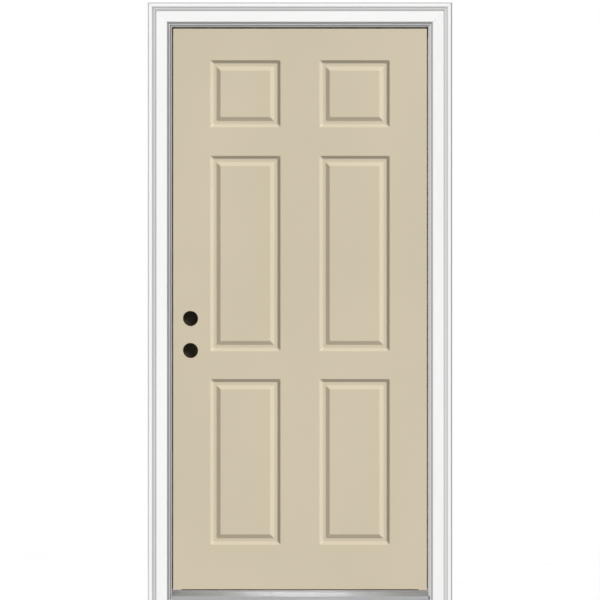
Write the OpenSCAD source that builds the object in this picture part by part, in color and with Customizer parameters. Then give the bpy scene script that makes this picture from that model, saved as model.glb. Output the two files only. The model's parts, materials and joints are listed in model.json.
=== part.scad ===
// Six-panel steel entry door, hung in its rabbeted frame with brickmould and threshold.
// Millimetres. X to the right seen from outside, +Y into the house, +Z up.
// The origin is at the middle of the sill's underside, in the plane of the outside wall.

/* [Door leaf] */
// Width of the door leaf
slab_w = 914; // [760:1:1100]
// Height of the door leaf
slab_h = 1988; // [1650:1:2400]
// Thickness of the door leaf
slab_t = 44.5; // [38:0.5:56]
// Thickness of the pressed steel skins
skin_t = 0.8; // [0.6:0.1:1.5]
// Width of the upright edge stiles
stile_w = 38; // [30:1:50]
// Height of the hidden top rail
top_rail_h = 38; // [30:1:60]
// Height of the hidden bottom rail
bottom_rail_h = 60; // [40:1:90]

/* [Panels] */
// Leaf's side edge to the nearest panel
panel_margin = 140.5; // [120:0.5:170]
// Gap between the two columns of panels
mullion_w = 138; // [100:1:180]
// Leaf's top edge to the top panels
top_margin = 120.5; // [90:0.5:150]
// Height of the top panels
top_panel_h = 236.5; // [190:0.5:290]
// Gap between top and middle panels
frieze_h = 101; // [60:1:130]
// Gap between middle and bottom panels
lock_rail_h = 98.5; // [60:0.5:130]
// Height of the bottom panels
bottom_panel_h = 584.5; // [480:0.5:710]
// Leaf's bottom edge to the bottom panels
bottom_margin = 157.5; // [120:0.5:200]
// Depth of the pressed groove
groove_depth = 8; // [5:0.5:10]
// Width of the groove's outer slope
outer_slope_w = 10.5; // [6:0.5:14]
// Width of the groove's floor
floor_w = 11.5; // [6:0.5:16]
// Width of the slope up to the raised field
inner_slope_w = 14; // [8:0.5:20]
// How far the raised field sits below the leaf's face
field_drop = 0.6; // [0:0.1:2]

/* [Lock holes] */
// Radius of the two cross bores
bore_r = 27; // [22:0.5:32]
// Leaf's lock edge to the middle of the bores
backset = 70; // [60:0.5:84]
// Height of the latch bore above the leaf's bottom edge
latch_h = 842.5; // [700:0.5:1010]
// Height between the latch bore and the deadbolt bore
bore_pitch = 113; // [90:1:140]
// Radius of the edge bores for the latches
edge_bore_r = 12.7; // [10:0.1:15]
// Length of the edge recesses for the latch plates
plate_l = 57; // [50:1:70]
// Depth of the edge recesses for the latch plates
plate_t = 3.2; // [2:0.1:4]
// Width of the wooden block behind the lock holes
lock_block_w = 89; // [80:1:110]
// Height of the wooden block behind the lock holes
lock_block_h = 420; // [320:1:500]
// Thickness of the caps over the inside ends of the bores
cap_t = 2.5; // [1.5:0.5:4]
// How far a bore cap reaches past its bore
cap_lip = 5; // [3:0.5:8]

/* [Frame] */
// Gap between the leaf and the jambs
gap = 3; // [2.5:0.1:4]
// Depth of the jambs through the wall
jamb_d = 116; // [112:1:170]
// Thickness of a jamb under its stop
jamb_t = 22; // [18:0.5:30]
// How far the stop stands out of the jamb
stop_h = 9; // [6:0.5:13]
// Clear space between the stop and the leaf, for the weatherstrip
seal_gap = 6.5; // [5:0.5:8]
// Height of the leaf's bottom edge above the sill's underside
slab_z = 32.5; // [30:0.5:40]

/* [Brickmould] */
// Width of the brickmould
mould_w = 78; // [60:1:95]
// Thickness of the brickmould's outer rim
mould_t = 33; // [30:0.5:38]
// Thickness of the brickmould's face
mould_face_t = 19; // [17:0.5:22]
// Width of the moulded edge beside the opening
mould_edge_w = 10.5; // [8:0.5:14]
// Width of the moulded step between the face and the rim
mould_step_w = 17; // [14:0.5:20]
// Width of the brickmould's outer rim
mould_rim_w = 14; // [12:0.5:18]
// Radius of the brickmould's outer corner
mould_rim_r = 7.5; // [4:0.5:8]
// How much of the jamb's edge shows inside the brickmould
reveal = 5; // [3:0.5:12]

/* [Weatherstrip] */
// How far the seal shows past the stop
seal_show = 3.5; // [1:0.5:5]
// Depth of the kerf that holds the seal
kerf_l = 8; // [6:0.5:10]
// Width of the kerf that holds the seal
kerf_w = 3; // [2:0.5:4]
// Clearance between seals and what they face
seal_clear = 0.3; // [0.2:0.1:0.5]

/* [Hinges] */
// Height of the hinge leaves
hinge_h = 102; // [90:1:115]
// Thickness of the hinge leaves
leaf_t = 3; // [2:0.5:3.5]
// Outside radius of the knuckles
knuckle_r = 7; // [6:0.5:8]
// Radius of the hinge pins
pin_r = 3.95; // [3.5:0.05:4.2]
// Running clearance around a pin
pin_clear = 0.05; // [0.03:0.01:0.09]
// Leaf's inside face to the pin's axis
pin_off = 9; // [8.5:0.5:12]
// Leaf's outside face to the edge of the hinge leaf
leaf_inset = 6.5; // [5:0.5:9]
// Corner radius of the hinge leaves
leaf_corner_r = 15.9; // [3:0.1:16]
// Thickness of the ball-bearing collars
bearing_h = 2.6; // [2:0.1:3.5]
// Leaf's top edge to the top hinge
hinge_top = 178; // [150:1:210]
// Leaf's bottom edge to the bottom hinge
hinge_bottom = 279; // [230:1:330]

/* [Sill] */
// How far the sill stands out in front of the wall
sill_front = 27; // [20:1:30]
// Height of the deck at its nose
nose_h = 13; // [11:0.5:15]
// Height of the deck where it meets the dam
deck_h = 23.5; // [21:0.5:25]
// Height of the dam in front of the sill cap
dam_h = 29.3; // [28:0.1:29.5]
// Wall thickness of the aluminium sections
sill_wall = 2.2; // [1.6:0.1:2.6]
// Height of the adjustable sill cap
cap_h = 12; // [10:0.5:13]
// How far the sill cap can be lowered
cap_travel = 4; // [2:0.5:4.5]
// Spacing of the anti-slip ribs on the deck
rib_pitch = 7; // [5:0.5:10]
// Width of the dam in front of the sill cap
dam_w = 10; // [9:0.5:14]
// Spacing of the screws that adjust the sill cap
cap_screw_pitch = 228.5; // [150:0.5:240]

/* [Fasteners] */
// Shank radius of the wood screws
screw_r = 2.1; // [1.8:0.1:2.4]
// Head radius of the wood screws
screw_head_r = 4.2; // [3.8:0.1:4.6]
// Length of the frame and sill screws
screw_l = 60; // [50:1:75]
// Length of the hinge screws in the jamb
jamb_screw_l = 19; // [14:1:20]
// Length of the hinge screws in the leaf
slab_screw_l = 25; // [19:1:28]
// Jamb's edges to the frame and sill screws
end_screw_inset = 25; // [20:1:28]
// Hinge leaf's ends to its outer screws
hinge_screw_end = 15; // [12:0.5:18]
// Hinge's middle to its inner screws
hinge_screw_mid = 12.5; // [8:0.5:15]
// Edge of the hinge leaf to the near row of screws
hinge_screw_near = 11.5; // [8:0.5:13]
// Edge of the hinge leaf to the far row of screws
hinge_screw_far = 24.5; // [20:0.5:28]
// Clearance around a screw
screw_clear = 0.1; // [0.05:0.05:0.2]

/* [Hidden] */
$fn = 48;

over = 1;                                       // how far a cutter runs past what it cuts
steel = "#b9bbbd";
paint = "#d0c4ab";
white = "#f4f4f3";
bronze = "#4a4032";
pine = "#d9b987";

// The leaf and the frame around it
slab_x = slab_w / 2;
slab_top = slab_z + slab_h;
slab_back = jamb_d;                             // the leaf's inside face is flush with the jambs
slab_y = slab_back - slab_t;
stop_d = slab_y - seal_gap;
rabbet_x = slab_x + gap;
rabbet_z = slab_top + gap;
stop_x = rabbet_x - stop_h;
stop_z = rabbet_z - stop_h;
jamb_x = rabbet_x + jamb_t;
jamb_z = rabbet_z + jamb_t;

// Panels: [left x, bottom z, width, height], measured from the leaf's bottom corner on the lock side
panel_w = (slab_w - 2 * panel_margin - mullion_w) / 2;
middle_panel_z = bottom_margin + bottom_panel_h + lock_rail_h;
top_panel_z = slab_h - top_margin - top_panel_h;
middle_panel_h = top_panel_z - frieze_h - middle_panel_z;
panel_rows = [
    [bottom_margin, bottom_panel_h],
    [middle_panel_z, middle_panel_h],
    [top_panel_z, top_panel_h]
];
panels = [
    for (x = [panel_margin, panel_margin + panel_w + mullion_w])
        for (row = panel_rows) [x, row[0], panel_w, row[1]]
];

// Lock holes
bore_x = -slab_x + backset;
bore_z = [slab_z + latch_h, slab_z + latch_h + bore_pitch];
lock_y = (slab_y + slab_back) / 2;
edge_recess_w = 2 * edge_bore_r;
plate_corner_r = 6.35;
block_z = (bore_z[0] + bore_z[1]) / 2 - lock_block_h / 2;

// Hinges
pin_x = slab_x + gap / 2;
pin_y = slab_back + pin_off;
hinge_z = [
    slab_top - hinge_top - hinge_h / 2,
    (slab_top - hinge_top + slab_z + hinge_bottom) / 2,
    slab_z + hinge_bottom + hinge_h / 2
];
leaf_w = slab_t - leaf_inset;
knuckle_gap = 0.25;
collar_clear = 0.05;
collar_lip = 0.3;                               // collars stand proud of the knuckles
pin_end = 1;                                    // pin's ends past the knuckles, inside the buttons
button_gap = 0.2;
button_h = 1.6;
button_r = knuckle_r - 0.4;
button_tip_r = 3.4;
knuckle_h = (hinge_h - 2 * (bearing_h + 2 * collar_clear) - 2 * knuckle_gap) / 5;
// Heights above the hinge's bottom edge: collars stand under the door leaf's two knuckles
knuckle_z = [
    0,
    knuckle_h + bearing_h + 2 * collar_clear,
    2 * knuckle_h + bearing_h + 2 * collar_clear + knuckle_gap,
    3 * knuckle_h + 2 * (bearing_h + 2 * collar_clear) + knuckle_gap,
    4 * knuckle_h + 2 * (bearing_h + 2 * collar_clear) + 2 * knuckle_gap
];
frame_knuckles = [0, 2, 4];
door_knuckles = [1, 3];
collar_z = [for (k = door_knuckles) knuckle_z[k] - collar_clear - bearing_h];
hinge_screws_at = [
    for (sign = [-1, 1]) [hinge_screw_near, sign * (hinge_h / 2 - hinge_screw_end)],
    for (sign = [-1, 1]) [hinge_screw_far, sign * hinge_screw_mid]
];
screw_head_h = 2.5;

// Sill
channel_setback = 1;                            // from the stops to the cap's channel
channel_inset = 5;                              // from the jambs' inside edges to the channel
channel_y = [stop_d + channel_setback, jamb_d - channel_inset];
channel_floor_z = 12;
channel_foot_z = channel_floor_z - sill_wall;
channel_lip = 4;                                // the channel's back wall stands this far below the cap
dam_y = channel_y[0] - dam_w;
dam_wall = sill_wall + 0.8;
dam_groove = [3.6, 2.2, 1.4];                   // depth below the dam's top, height and depth
nose_groove = [8, 2.4, 1];                      // depth below the nose's top, height and depth
edge_lift = 1;                                  // the deck's edges stop this far above the floor
bead_w = 5;
bead_h = 1.1;                                   // of the nose bead above the nose
bead_sink = 0.5;                                // of the bead into the nose
rib_w = 2.4;
rib_h = 1.1;                                    // with the part that sinks into the deck
rib_start = 3;
rib_sink = 0.3;
rib_run_out = 14;                               // plain part of the deck at its two edges
cap_under_leaf = 3.5;
cap_top = slab_z - cap_under_leaf;
cap_chamfer = 1.5;
cap_side_clear = 0.4;
cap_screw_y = (channel_y[0] + channel_y[1]) / 2;
cap_screw_x = [for (k = [-1.5, -0.5, 0.5, 1.5]) k * cap_screw_pitch];
cap_screw_r = 3;
cap_screw_head_r = 5;
cap_screw_head_h = 3;
cap_screw_sink = 0.4;                           // head below the cap's top
cap_screw_shank_sink = 1;                       // shank's end below the cap's top
slot_w = 1;
slot_l = 6.4;
slot_d = 1.8;                                   // slots' floor below the cap's top
cap_screw_clear = 0.05;
cap_screw_bottom = cap_travel + 1;
deck_slope = (deck_h - nose_h) / (dam_y + sill_front);
sweep_clear = seal_clear;
sweep_y = [slab_y + 5, slab_back - 4];
sweep_t = 1.2;
sweep_kerf_w = 2;
sweep_kerf_d = 6;
sweep_barb_y = [sweep_y[0] + 7, sweep_y[1] - 9];
fin_t = 1.4;
fin_n = 4;

// Brickmould
mould_x = stop_x + reveal;
mould_z = stop_z + reveal;

// Frame screws
end_screw_y = [end_screw_inset, jamb_d - end_screw_inset];
end_screw_z = channel_foot_z / 2;
head_screw_x = rabbet_x + jamb_t / 2;
kerf_clear = 0.1;
pad_t = 1;
pad_h = 55;
pad_inset = 1;                                  // pads behind the leaf's face and above its bottom
pad_share = 0.6;                                // of the leaf's thickness

function arc(cx, cy, r, a0, a1, n = 6) =
    [for (k = [0 : n]) [cx + r * cos(a0 + (a1 - a0) * k / n), cy + r * sin(a0 + (a1 - a0) * k / n)]];

// Mirrored in X for sign -1
module side(sign) {
    if (sign > 0) children(); else mirror([1, 0, 0]) children();
}

// A 2D shape drawn in X and Y, extruded along Z
module upright(z0, z1) {
    translate([0, 0, z0]) linear_extrude(z1 - z0) children();
}

// A 2D shape drawn in Y and Z, extruded along X
module along_x(x0, x1) {
    translate([x0, 0, 0]) rotate([90, 0, 90]) linear_extrude(x1 - x0) children();
}

// A 2D shape drawn in X and Z, extruded along Y
module along_y(y0, y1) {
    translate([0, y1, 0]) rotate([90, 0, 0]) linear_extrude(y1 - y0) children();
}

// Countersunk screw pointing along +Z with its head's flat top at z = 0; grow makes its hole
module screw(length, grow = 0) {
    translate([0, 0, -grow])
        cylinder(h = screw_head_h + grow, r1 = screw_head_r + grow, r2 = screw_r + grow);
    cylinder(h = length + grow, r = screw_r + grow);
}

// ---- Frame ----

// Section of an upright jamb, drawn for the hinge side, with the weatherstrip's kerf
module jamb_section() {
    difference() {
        union() {
            translate([rabbet_x, 0]) square([jamb_t, jamb_d]);
            translate([stop_x, 0]) square([stop_h + over, stop_d]);
        }
        translate([rabbet_x - over, stop_d]) square([kerf_l + over, kerf_w]);
    }
}

// An upright jamb with its stop cut short below the head's stop
module upright_jamb(sign) {
    side(sign) difference() {
        upright(0, rabbet_z) jamb_section();
        translate([stop_x - over, -over, stop_z]) cube([stop_h + over, stop_d + over, stop_h + over]);
        head_screw_holes();
        sill_screw_holes();
    }
}

module head_jamb() {
    color(white) difference() {
        union() {
            translate([-jamb_x, 0, rabbet_z]) cube([2 * jamb_x, jamb_d, jamb_t]);
            translate([-rabbet_x, 0, stop_z]) cube([2 * rabbet_x, stop_d, stop_h + over]);
        }
        translate([-jamb_x - over, stop_d, rabbet_z - over])
            cube([2 * (jamb_x + over), kerf_w, kerf_l + over]);
        for (sign = [-1, 1]) side(sign) head_screw_holes();
    }
}

// Recess and pocket in the strike jamb for one bolt
module strike_pocket(z) {
    along_x(rabbet_x - over, rabbet_x + plate_t / 2) plate_outline(z);
    translate([rabbet_x - over, lock_y, z]) rotate([0, 90, 0])
        cylinder(h = jamb_t + 2 * over, r = edge_bore_r);
}

module strike_jamb() {
    color(white) difference() {
        upright_jamb(-1);
        mirror([1, 0, 0]) for (z = bore_z) strike_pocket(z);
    }
}

module hinge_jamb() {
    color(white) difference() {
        upright_jamb(1);
        for (z = hinge_z) {
            along_x(rabbet_x - over, rabbet_x + leaf_t) leaf_outline(z, over);
            at_hinge_screws(z, rabbet_x, 1) screw(jamb_screw_l, screw_clear);
        }
    }
}

// Brickmould section: u runs outward from the inner edge, v away from the wall.
// A sloping ogee edge, a flat face, two risers with a ledge between them, and a rim with a round corner.
module mould_section() {
    step_u = mould_w - mould_rim_w - mould_step_w;
    rim_u = mould_w - mould_rim_w;
    rise = mould_t - mould_face_t;
    ledge_v = mould_face_t + rise / 2;
    ledge_w = 3;
    riser_w = (mould_step_w - ledge_w) / 2 - 1;
    edge_foot = mould_face_t - 15;
    polygon(concat(
        [[0, 0], [0, edge_foot], [mould_edge_w / 3, edge_foot + 2.5]],
        arc(mould_edge_w + 3, mould_face_t - 5, 5, 153, 90, 4),
        [[step_u, mould_face_t], [step_u + 1, mould_face_t + 0.5]],
        [[step_u + 1 + riser_w, ledge_v - 0.5], [step_u + 1 + riser_w + ledge_w, ledge_v + 0.7]],
        arc(rim_u + 0.5, mould_t - 4, 4, 140, 90, 4),
        arc(mould_w - mould_rim_r, mould_t - mould_rim_r, mould_rim_r, 90, 0, 6),
        [[mould_w, 0]]
    ));
}

// Everything on the outer side of the mitre line through the frame's inner top corner
module mitre(head) {
    reach = mould_w + 3 * over;
    along_y(-mould_t - over, over)
        if (head) polygon([
            [-mould_x + over, mould_z - over], [mould_x - over, mould_z - over],
            [mould_x + reach, mould_z + reach], [-mould_x - reach, mould_z + reach]
        ]);
        else polygon([
            [mould_x - over, -over], [mould_x + reach, -over],
            [mould_x + reach, mould_z + reach], [mould_x - over, mould_z - over]
        ]);
}

module brickmould_side(sign) {
    color(white) side(sign) intersection() {
        upright(0, mould_z + mould_w) translate([mould_x, 0]) mirror([0, 1]) mould_section();
        mitre(false);
    }
}

module brickmould_head() {
    color(white) intersection() {
        translate([0, 0, mould_z]) along_x(-mould_x - mould_w, mould_x + mould_w)
            rotate(90) mould_section();
        mitre(true);
    }
}

// Weatherstrip section for the hinge side: a padded bulb and the barb in the kerf
module seal_section() {
    bulb_d = seal_gap - seal_clear;
    bulb_in = stop_x - seal_show;
    bulb_out = rabbet_x - kerf_clear;
    nose_r = bulb_d / 2;
    translate([bulb_in + nose_r, stop_d]) square([bulb_out - bulb_in - nose_r, bulb_d]);
    translate([bulb_in + nose_r, stop_d + nose_r]) circle(r = nose_r);
    translate([bulb_out - over, stop_d + kerf_clear]) square([kerf_l + over, kerf_w - 2 * kerf_clear]);
}

module weatherstrip_side(sign) {
    color(bronze) side(sign) upright(slab_z, stop_z - seal_show) seal_section();
}

module weatherstrip_head() {
    color(bronze) intersection() {
        along_x(-rabbet_x + kerf_clear, rabbet_x - kerf_clear)
            translate([0, rabbet_z - rabbet_x]) rotate(90) mirror([0, 1]) seal_section();
        translate([-rabbet_x, 0, stop_z - seal_show]) cube([2 * rabbet_x, jamb_d, jamb_t + stop_h]);
    }
}

// Thin foam pads at the foot of the rabbets, behind the seals
module corner_pads() {
    color(bronze) for (sign = [-1, 1]) side(sign)
        translate([rabbet_x - pad_t, slab_y + pad_inset, slab_z + pad_inset])
            cube([pad_t, slab_t * pad_share, pad_h]);
}

// Places screws down through the head jamb into the top of the hinge-side jamb
module at_head_screws() {
    for (y = end_screw_y) translate([head_screw_x, y, jamb_z]) rotate([180, 0, 0]) children();
}

module head_screw_holes() {
    at_head_screws() screw(screw_l, screw_clear);
}

module head_screws() {
    color(steel) for (sign = [-1, 1]) side(sign) at_head_screws() screw(screw_l);
}

// Places screws through the hinge-side jamb into the sill's end
module at_sill_screws() {
    for (y = end_screw_y) translate([jamb_x, y, end_screw_z]) rotate([0, -90, 0]) children();
}

module sill_screw_holes() {
    at_sill_screws() screw(screw_l, screw_clear);
}

module sill_end_screws() {
    color(steel) for (sign = [-1, 1]) side(sign) at_sill_screws() screw(screw_l);
}

// ---- Sill ----

// The sill's sections run between the stops, and between the rabbets behind the stops
module sill_lengths(clear = 0) {
    along_x(-stop_x + clear, stop_x - clear) children();
    along_x(-rabbet_x + clear, rabbet_x - clear) intersection() {
        children();
        translate([stop_d, -over]) square([jamb_d, slab_z + 2 * over]);
    }
}

// The solid base that fills the space under the deck
module base_section() {
    front = -sill_front + sill_wall;
    polygon([
        [front, 0], [channel_y[1], 0], [channel_y[1], channel_foot_z], [dam_y, channel_foot_z],
        [dam_y, deck_h - sill_wall], [front, nose_h - sill_wall + deck_slope * sill_wall]
    ]);
}

module sill_base() {
    color("#8d8a84") difference() {
        sill_lengths() base_section();
        for (sign = [-1, 1]) side(sign) sill_screw_holes();
        for (x = cap_screw_x) translate([x, cap_screw_y, -over])
            cylinder(h = slab_z, r = cap_screw_r + cap_screw_clear);
    }
}

// The nose, the sloping deck with its ribs, the grooved dam and the cap's channel
module deck_section() {
    rib_n = floor((dam_y + sill_front - rib_run_out) / rib_pitch);
    difference() {
        union() {
            translate([-sill_front, edge_lift]) square([sill_wall, nose_h - edge_lift]);
            polygon([
                [-sill_front, nose_h - sill_wall], [-sill_front, nose_h],
                [dam_y, deck_h], [dam_y, deck_h - sill_wall]
            ]);
            for (k = [1 : rib_n]) deck_rib(rib_start + k * rib_pitch);
            translate([-sill_front, nose_h - bead_sink]) square([bead_w, bead_sink + bead_h]);
            translate([dam_y, channel_foot_z]) square([dam_wall, dam_h - channel_foot_z]);
            translate([dam_y, dam_h - sill_wall]) square([channel_y[0] - dam_y, sill_wall]);
            translate([channel_y[0] - sill_wall, channel_foot_z]) square([sill_wall, dam_h - channel_foot_z]);
            translate([dam_y, channel_foot_z]) square([channel_y[1] - dam_y, sill_wall]);
            translate([channel_y[1], edge_lift]) square([sill_wall, cap_top - channel_lip]);
        }
        translate([dam_y - over, dam_h - dam_groove[0]]) square([over + dam_groove[2], dam_groove[1]]);
        translate([-sill_front - over, nose_h - nose_groove[0]])
            square([over + nose_groove[2], nose_groove[1]]);
    }
}

// One anti-slip rib, that far back from the nose
module deck_rib(back) {
    translate([-sill_front + back, nose_h + back * deck_slope - rib_sink]) square([rib_w, rib_h]);
}

module sill_deck() {
    color("#c9cacc") difference() {
        sill_lengths() deck_section();
        for (x = cap_screw_x) translate([x, cap_screw_y, -over])
            cylinder(h = slab_z, r = cap_screw_r + cap_screw_clear);
    }
}

module sill_cap() {
    y0 = channel_y[0] + cap_side_clear;
    y1 = channel_y[1] - cap_side_clear;
    color("#b98a55") difference() {
        along_x(-rabbet_x + cap_side_clear, rabbet_x - cap_side_clear) polygon([
            [y0, cap_top - cap_h], [y1, cap_top - cap_h], [y1, cap_top - 2 * cap_chamfer],
            [y1 - 2 * cap_chamfer, cap_top], [y0 + cap_chamfer, cap_top], [y0, cap_top - cap_chamfer]
        ]);
        for (x = cap_screw_x) translate([x, cap_screw_y, 0]) {
            translate([0, 0, cap_top - cap_screw_head_h - cap_screw_clear])
                cylinder(h = slab_z, r = cap_screw_head_r + cap_screw_clear);
            cylinder(h = slab_z, r = cap_screw_r + cap_screw_clear);
        }
    }
}

// Adjusting screw with a crossed slot in its head
module cap_screw(n) {
    color(steel) translate([cap_screw_x[n], cap_screw_y, cap_top]) difference() {
        union() {
            translate([0, 0, cap_screw_bottom - cap_top])
                cylinder(h = cap_top - cap_screw_shank_sink - cap_screw_bottom, r = cap_screw_r);
            translate([0, 0, -cap_screw_head_h])
                cylinder(h = cap_screw_head_h - cap_screw_sink, r = cap_screw_head_r);
        }
        for (turn = [0, 90]) rotate(turn)
            translate([-slot_w / 2, -slot_l / 2, -slot_d]) cube([slot_w, slot_l, slot_d + over]);
    }
}

// ---- Hinges ----

// Outline of a hinge leaf or its mortise, in Y and Z, centred on height z; run_out opens the knuckle edge
module leaf_outline(z, run_out = 0) {
    y0 = slab_y + leaf_inset;
    r = leaf_corner_r;
    translate([y0 + r, z - hinge_h / 2]) square([leaf_w - r + run_out, hinge_h]);
    translate([y0, z - hinge_h / 2 + r]) square([r + over, hinge_h - 2 * r]);
    for (sign = [-1, 1]) translate([y0 + r, z + sign * (hinge_h / 2 - r)]) circle(r = r);
}

// Places screws on a hinge leaf whose outer face is at x, pointing along X in the sign's direction
module at_hinge_screws(z, x, sign) {
    for (at = hinge_screws_at)
        translate([x, slab_y + leaf_inset + at[0], z + at[1]]) rotate([0, 90 * sign, 0]) children();
}

// A leaf, its knuckles and screw holes; sign 1 is the frame's leaf and -1 the door's
module hinge_leaf(z, sign) {
    face_x = pin_x + sign * gap / 2;
    plate_x = sign > 0 ? face_x : face_x - leaf_t;
    foot = z - hinge_h / 2;
    knuckles = sign > 0 ? frame_knuckles : door_knuckles;
    color(steel) difference() {
        union() {
            along_x(plate_x, plate_x + leaf_t) leaf_outline(z);
            for (k = knuckles) translate([0, 0, foot + knuckle_z[k]]) {
                translate([plate_x, slab_back - over, 0]) cube([leaf_t, pin_off + over, knuckle_h]);
                translate([pin_x, pin_y, 0]) cylinder(h = knuckle_h, r = knuckle_r);
            }
        }
        translate([pin_x, pin_y, foot - over]) cylinder(h = hinge_h + 2 * over, r = pin_r + pin_clear);
        at_hinge_screws(z, face_x, sign) screw(leaf_t + over, screw_clear);
    }
}

// A pin with a tapered button at each end
module hinge_pin(z) {
    color(steel) translate([pin_x, pin_y, z]) {
        translate([0, 0, -hinge_h / 2 - pin_end]) cylinder(h = hinge_h + 2 * pin_end, r = pin_r);
        for (end = [0, 1]) mirror([0, 0, end]) translate([0, 0, hinge_h / 2 + button_gap]) {
            cylinder(h = button_h, r = button_r);
            translate([0, 0, button_h]) cylinder(h = button_h, r1 = button_r, r2 = button_tip_r);
        }
    }
}

module hinge_bearings() {
    color("#8f9296") for (z = hinge_z, c = collar_z)
        translate([pin_x, pin_y, z - hinge_h / 2 + c]) difference() {
            cylinder(h = bearing_h, r = knuckle_r + collar_lip);
            translate([0, 0, -over]) cylinder(h = bearing_h + 2 * over, r = pin_r + pin_clear);
        }
}

module hinge_frame_screws() {
    color(steel) for (z = hinge_z) at_hinge_screws(z, rabbet_x, 1) screw(jamb_screw_l);
}

module hinge_door_screws() {
    color(steel) for (z = hinge_z) at_hinge_screws(z, slab_x, -1) screw(slab_screw_l);
}

// ---- Door leaf ----

// A frustum with its base at y = y0 and its top at y = y1, both centred on X and Z
module frustum(y0, w0, h0, y1, w1, h1) {
    intersection() {
        translate([0, 0, -h0]) linear_extrude(2 * h0)
            polygon([[-w0 / 2, y0], [w0 / 2, y0], [w1 / 2, y1], [-w1 / 2, y1]]);
        translate([-w0, 0, 0]) rotate([90, 0, 90]) linear_extrude(2 * w0)
            polygon([[y0, -h0 / 2], [y0, h0 / 2], [y1, h1 / 2], [y1, -h1 / 2]]);
    }
}

// The ring pressed into the face around one panel; the face is at y = 0 and the panel is centred
module panel_groove(w, h) {
    mouth = 2 * outer_slope_w * over / groove_depth;
    foot = 2 * (outer_slope_w + floor_w);
    crest = foot + 2 * inner_slope_w;
    floor_slope = 2 * outer_slope_w;
    difference() {
        frustum(-over, w + mouth, h + mouth, groove_depth, w - floor_slope, h - floor_slope);
        translate([0, groove_depth, 0]) mirror([0, 1, 0])
            frustum(-over, w - foot + crest_grow(over), h - foot + crest_grow(over),
                groove_depth - field_drop, w - crest, h - crest);
    }
}

// How much wider the raised field's base is when it starts d below the groove's floor
function crest_grow(d) = 2 * inner_slope_w * d / (groove_depth - field_drop);

// A block whose face at y = 0 carries the six pressed panels
module pressed_block(thickness) {
    difference() {
        cube([slab_w, thickness, slab_h]);
        for (p = panels) translate([p[0] + p[2] / 2, 0, p[1] + p[3] / 2]) panel_groove(p[2], p[3]);
    }
}

module bores(y0, y1) {
    for (z = bore_z) translate([bore_x, y1, z]) rotate([90, 0, 0]) cylinder(h = y1 - y0, r = bore_r);
}

module edge_bores() {
    for (z = bore_z) {
        translate([-slab_x - over, lock_y, z]) rotate([0, 90, 0])
            cylinder(h = backset + over, r = edge_bore_r);
        mirror([1, 0, 0]) along_x(slab_x - plate_t, slab_x + over) plate_outline(z);
    }
}

// Outline of a latch plate's recess with routed corners, in Y and Z
module plate_outline(z) {
    r = plate_corner_r;
    translate([lock_y - edge_bore_r, z - plate_l / 2 + r]) square([edge_recess_w, plate_l - 2 * r]);
    translate([lock_y - edge_bore_r + r, z - plate_l / 2]) square([edge_recess_w - 2 * r, plate_l]);
    for (a = [-1, 1], b = [-1, 1])
        translate([lock_y + a * (edge_bore_r - r), z + b * (plate_l / 2 - r)]) circle(r = r);
}

// A pressed skin: the same pressing twice, one skin's thickness apart
module skin_sheet() {
    difference() {
        pressed_block(groove_depth + skin_t);
        translate([0, skin_t, 0]) past_edges() pressed_block(groove_depth + skin_t + over);
    }
}

// Lets the inner pressing run out through the sheet's edges
module past_edges() {
    depth = groove_depth + 2 * over;
    children();
    for (x = [-over, slab_w - over]) translate([x, 0, -over]) cube([2 * over, depth, slab_h + 2 * over]);
    for (z = [-over, slab_h - over]) translate([-over, 0, z]) cube([slab_w + 2 * over, depth, 2 * over]);
}

// Moves a piece drawn with its face at y = 0 to the leaf's outside or inside face
module on_face(outside) {
    translate([-slab_x, outside ? slab_y : slab_back, slab_z])
        if (outside) children(); else mirror([0, 1, 0]) children();
}

module skin(outside) {
    color(paint) difference() {
        on_face(outside) skin_sheet();
        bores(slab_y - over, slab_back + over);
        for (z = hinge_z) along_x(slab_x - leaf_t, slab_x + over) leaf_outline(z, over);
    }
}

// A plain member of the leaf between the two skins: x, z, width and height from the leaf's bottom corner
module member(x, z, w, h) {
    translate([x - slab_x, slab_y + skin_t, z + slab_z]) cube([w, slab_t - 2 * skin_t, h]);
}

module lock_stile() {
    color(pine) difference() {
        member(0, 0, stile_w, slab_h);
        edge_bores();
    }
}

module hinge_stile() {
    color(pine) difference() {
        member(slab_w - stile_w, 0, stile_w, slab_h);
        for (z = hinge_z) {
            along_x(slab_x - leaf_t, slab_x + over) leaf_outline(z, over);
            at_hinge_screws(z, slab_x, -1) screw(slab_screw_l, screw_clear);
        }
    }
}

module top_rail() {
    color(pine) member(stile_w, slab_h - top_rail_h, slab_w - 2 * stile_w, top_rail_h);
}

module bottom_rail() {
    color(pine) difference() {
        member(stile_w, 0, slab_w - 2 * stile_w, bottom_rail_h);
        along_x(-slab_x, slab_x) sweep_barbs(kerf_clear);
    }
}

module lock_block() {
    color(pine) difference() {
        member(stile_w, block_z - slab_z, lock_block_w, lock_block_h);
        bores(slab_y, slab_back);
        edge_bores();
    }
}

module foam_core() {
    color("#e9e2c8") difference() {
        member(stile_w, bottom_rail_h, slab_w - 2 * stile_w, slab_h - bottom_rail_h - top_rail_h);
        member(stile_w - over, block_z - slab_z, lock_block_w + over, lock_block_h);
        for (outside = [true, false]) on_face(outside) translate([0, skin_t, 0])
            for (p = panels) translate([p[0] + p[2] / 2, 0, p[1] + p[3] / 2]) panel_groove(p[2], p[3]);
    }
}

// Black cap over a bore's inside end
module bore_cap(z) {
    color("#141414") translate([bore_x, slab_back + cap_t, z]) rotate([90, 0, 0]) {
        translate([0, 0, 1]) cylinder(h = cap_t - 1, r = bore_r + cap_lip);
        cylinder(h = 1, r1 = bore_r + cap_lip - 1, r2 = bore_r + cap_lip);
    }
}

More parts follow.
